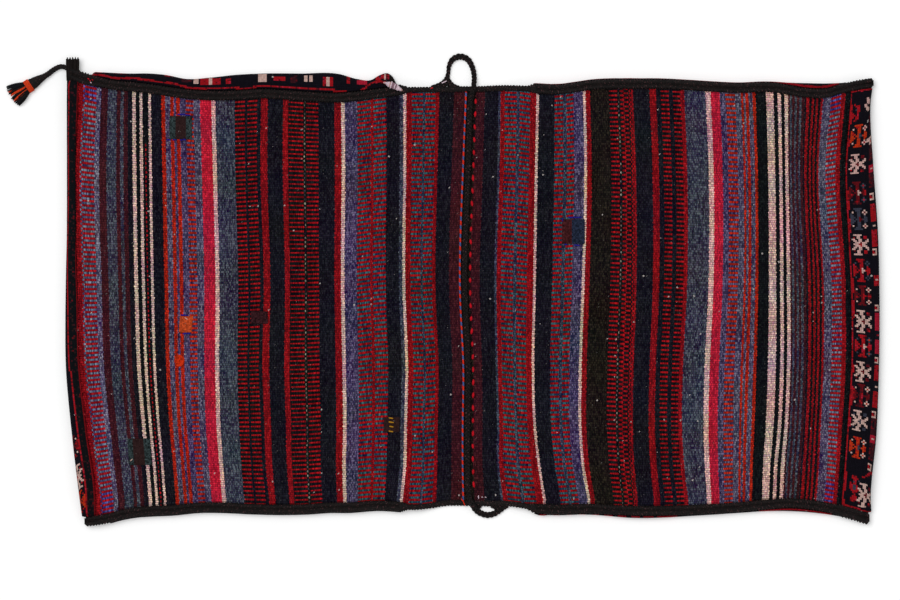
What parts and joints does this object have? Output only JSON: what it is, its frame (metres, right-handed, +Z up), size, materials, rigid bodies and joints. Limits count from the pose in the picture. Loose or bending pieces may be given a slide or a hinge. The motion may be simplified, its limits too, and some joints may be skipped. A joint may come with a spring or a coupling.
{
  "type": "double saddle bag",
  "caption": "Woven wool double saddle bag: two flat pouches joined by a bridge, with overcast goat-hair seams, a braid sewn across the bridge that forms end loops, and a corner tassel.",
  "frame": {"origin": "centre of the bag's footprint, on the surface that it lies on", "axes": "+X along the strip from the tasselled pouch to the other, +Y across it towards the tall loop, +Z up through the woven backs"},
  "size_m": [1.2857, 0.6952, 0.022],
  "materials": {
    "woven_wool": "matt striped wool: weft-faced kilim backs and wool pile faces",
    "goat_hair": "matt dark goat hair, plied, braided or overcast",
    "red_thread": "matt dyed thread",
    "brown_green_darning_wool": "matt darning wool",
    "orange_darning_wool": "matt darning wool",
    "maroon_darning_wool": "matt darning wool",
    "pale_thread": "matt thread"
  },
  "bodies": {
    "root": {"bag_cloth": "woven_wool", "left_pouch_upper_seam": "goat_hair", "left_pouch_lower_seam": "goat_hair", "right_pouch_upper_seam": "goat_hair", "right_pouch_lower_seam": "goat_hair", "bridge_upper_selvedge": "goat_hair", "bridge_lower_selvedge": "goat_hair", "centre_braid": "goat_hair", "centre_twine": "red_thread", "upper_left_darn": "brown_green_darning_wool", "lower_left_darn": "brown_green_darning_wool", "brown_darn": "brown_green_darning_wool", "orange_darn": "orange_darning_wool", "round_orange_darn": "orange_darning_wool", "maroon_darn": "maroon_darning_wool", "right_darn": "maroon_darning_wool", "mouth_whipping": "pale_thread", "corner_tuft": "goat_hair", "tassel_cord": "goat_hair", "tassel_head": "goat_hair", "tassel_wrap": "red_thread", "tassel_skirt": "goat_hair"}
  },
  "joints": []
}
